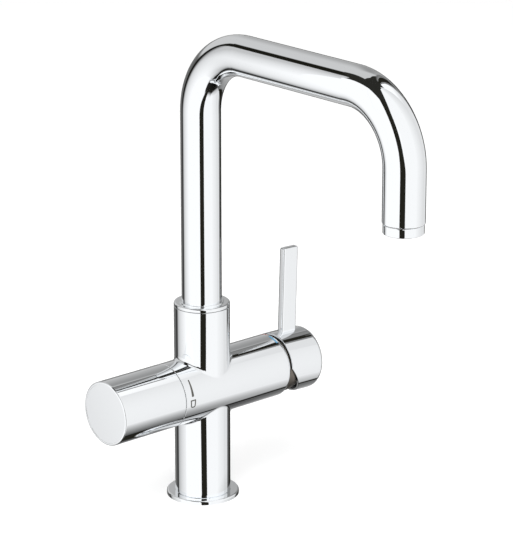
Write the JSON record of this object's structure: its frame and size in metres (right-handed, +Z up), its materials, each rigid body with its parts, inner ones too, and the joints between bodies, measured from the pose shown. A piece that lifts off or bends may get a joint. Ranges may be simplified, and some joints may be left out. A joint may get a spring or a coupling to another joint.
{
  "type": "water filter kitchen tap",
  "caption": "Chromed deck-mounted kitchen tap: upright column, cross barrel with a filter knob and a mixing lever, and a square-arched swivel spout with a separate filtered water way.",
  "frame": {"origin": "on the column's axis, at the worktop face that the base flange sits on", "axes": "+Z up along the column; the spout points along -Y; the barrel lies along X, with the filter knob at -X and the mixing lever at +X"},
  "size_m": [0.1917, 0.2472, 0.4086],
  "materials": {
    "polished_chrome": "mirror polished chrome plate over brass",
    "dark_nickel": "dark satin nickel plate over brass",
    "turned_brass": "bare turned brass, inside only",
    "stainless_steel": "plain stainless steel",
    "black_rubber": "matt black rubber",
    "white_plastic": "moulded plastic, off white",
    "grey_plastic": "moulded plastic, grey",
    "ceramic": "lapped ceramic, off white"
  },
  "bodies": {
    "fixed": {"body_casting": "polished_chrome", "base_flange": "polished_chrome", "base_seal": "black_rubber", "threaded_shank": "turned_brass", "rubber_washer": "black_rubber", "steel_washer": "stainless_steel", "shank_nut": "turned_brass", "glide_ring": "white_plastic", "spout_lock_screw": "stainless_steel", "centre_nipple": "turned_brass", "nipple_o_ring": "black_rubber", "valve_headpart": "turned_brass", "headpart_washer": "black_rubber", "valve_seat_washer": "black_rubber", "valve_fixed_disc": "ceramic", "knob_guide_ring": "white_plastic", "cartridge_base": "white_plastic", "cartridge_port_seals": "black_rubber", "cartridge_fixed_disc": "ceramic", "cartridge_shell": "white_plastic", "cartridge_ring_nut": "turned_brass", "cartridge_dome": "dark_nickel"},
    "spout": {"spout_tube": "polished_chrome", "spout_foot": "turned_brass", "foot_o_rings": "black_rubber", "spout_collar": "polished_chrome", "tube_trim_ring": "polished_chrome", "inner_water_tube": "white_plastic", "inner_tube_cuff": "white_plastic", "outlet_thread_ring": "turned_brass", "aerator_housing": "polished_chrome", "aerator_core": "grey_plastic", "aerator_washer": "black_rubber", "filtered_nozzle": "white_plastic"},
    "filter_knob": {"filter_knob": "polished_chrome", "knob_end_plate": "polished_chrome", "spline_adapter": "turned_brass", "knob_screw": "stainless_steel", "valve_spindle": "turned_brass", "spindle_o_ring": "black_rubber", "spindle_clip": "stainless_steel", "valve_moving_disc": "ceramic"},
    "mixer_turn": {"cartridge_rotor": "white_plastic", "pivot_pin": "stainless_steel"},
    "lever": {"lever_handle": "polished_chrome", "cartridge_stem": "turned_brass", "handle_grub_screw": "stainless_steel", "handle_plug": "grey_plastic"},
    "mixing_disc": {"disc_carrier": "white_plastic", "cartridge_moving_disc": "ceramic"}
  },
  "joints": [
    {"name": "spout_swivel", "type": "hinge", "parent": "fixed", "child": "spout", "pos_m": [0, 0, 0.13], "axis": [0, 0, 1], "range_deg": [-75, 75]},
    {"name": "filter_turn", "type": "hinge", "parent": "fixed", "child": "filter_knob", "pos_m": [-0.06, 0, 0.0842], "axis": [1, 0, 0], "range_deg": [0, 90]},
    {"name": "mixer_temperature", "type": "hinge", "parent": "fixed", "child": "mixer_turn", "pos_m": [0.072, 0, 0.0842], "axis": [1, 0, 0], "range_deg": [-50, 50]},
    {"name": "mixer_flow", "type": "hinge", "parent": "mixer_turn", "child": "lever", "pos_m": [0.072, 0, 0.0842], "axis": [0, 1, 0], "range_deg": [0, 24]},
    {"name": "disc_slide", "type": "slide", "parent": "mixer_turn", "child": "mixing_disc", "axis": [0, 0, 1], "range_m": [0, 0.00582]}
  ],
  "couplings": [
    {"joint": "disc_slide", "follows": "mixer_flow", "m_per_rad": 0.013876}
  ]
}
